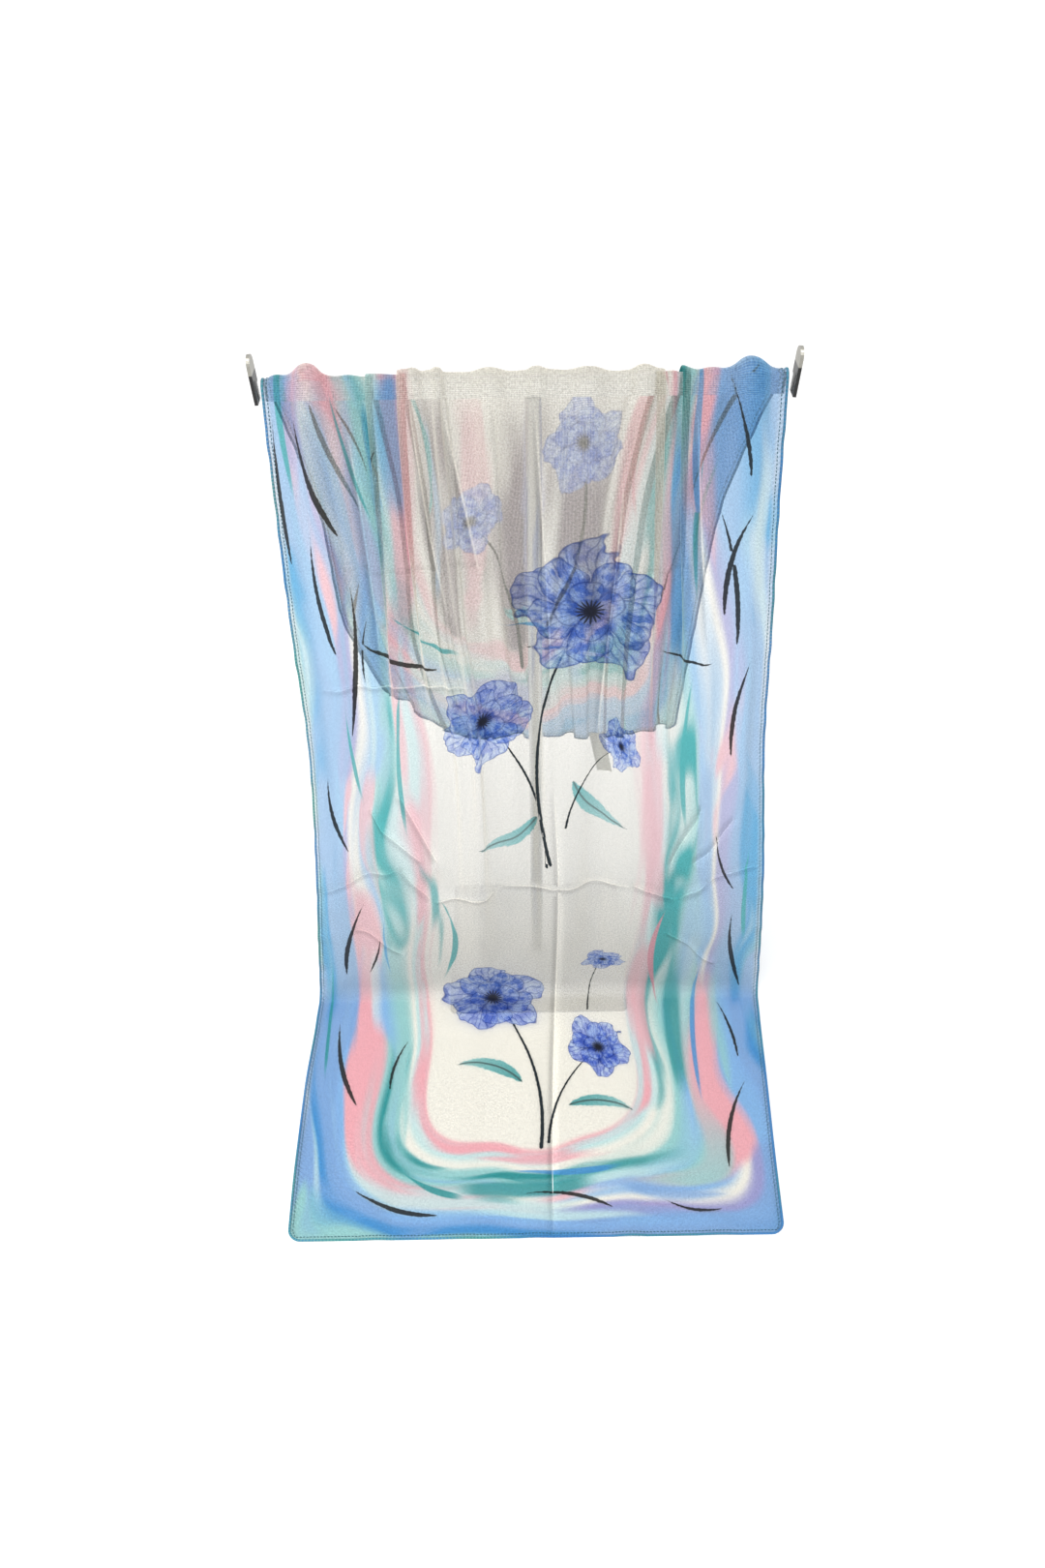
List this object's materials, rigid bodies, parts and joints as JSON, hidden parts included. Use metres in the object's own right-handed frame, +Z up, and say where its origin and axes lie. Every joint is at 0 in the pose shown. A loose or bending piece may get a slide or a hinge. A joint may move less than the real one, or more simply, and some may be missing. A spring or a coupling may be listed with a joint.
{
  "type": "chiffon scarf on a t-bar display stand",
  "caption": "Sheer printed chiffon scarf draped over the crossbar of a T-bar display stand, with its front end laid forward on the surface that the stand's base plate rests on.",
  "frame": {"origin": "centre of the base plate's underside, under the post, on the surface that the part stands on", "axes": "+Z up along the post, -Y is the front that the laid end of the scarf points to, +X is to the right of someone who faces the front"},
  "size_m": [0.503, 0.479, 0.7349],
  "materials": {
    "chiffon": "sheer plain-weave polyester chiffon, printed, matt with a faint sheen",
    "label_tape": "blank woven satin tape",
    "chrome": "bright chromed steel"
  },
  "bodies": {
    "root": {"scarf_back_stretch": "chiffon", "scarf_over_bar": "chiffon", "scarf_front_stretch": "chiffon", "scarf_laid_end": "chiffon", "care_label": "label_tape", "stand_base": "chrome", "stand_foot": "chrome", "stand_post": "chrome", "stand_bar": "chrome", "stand_end_stop_left": "chrome", "stand_end_stop_right": "chrome"}
  },
  "joints": []
}
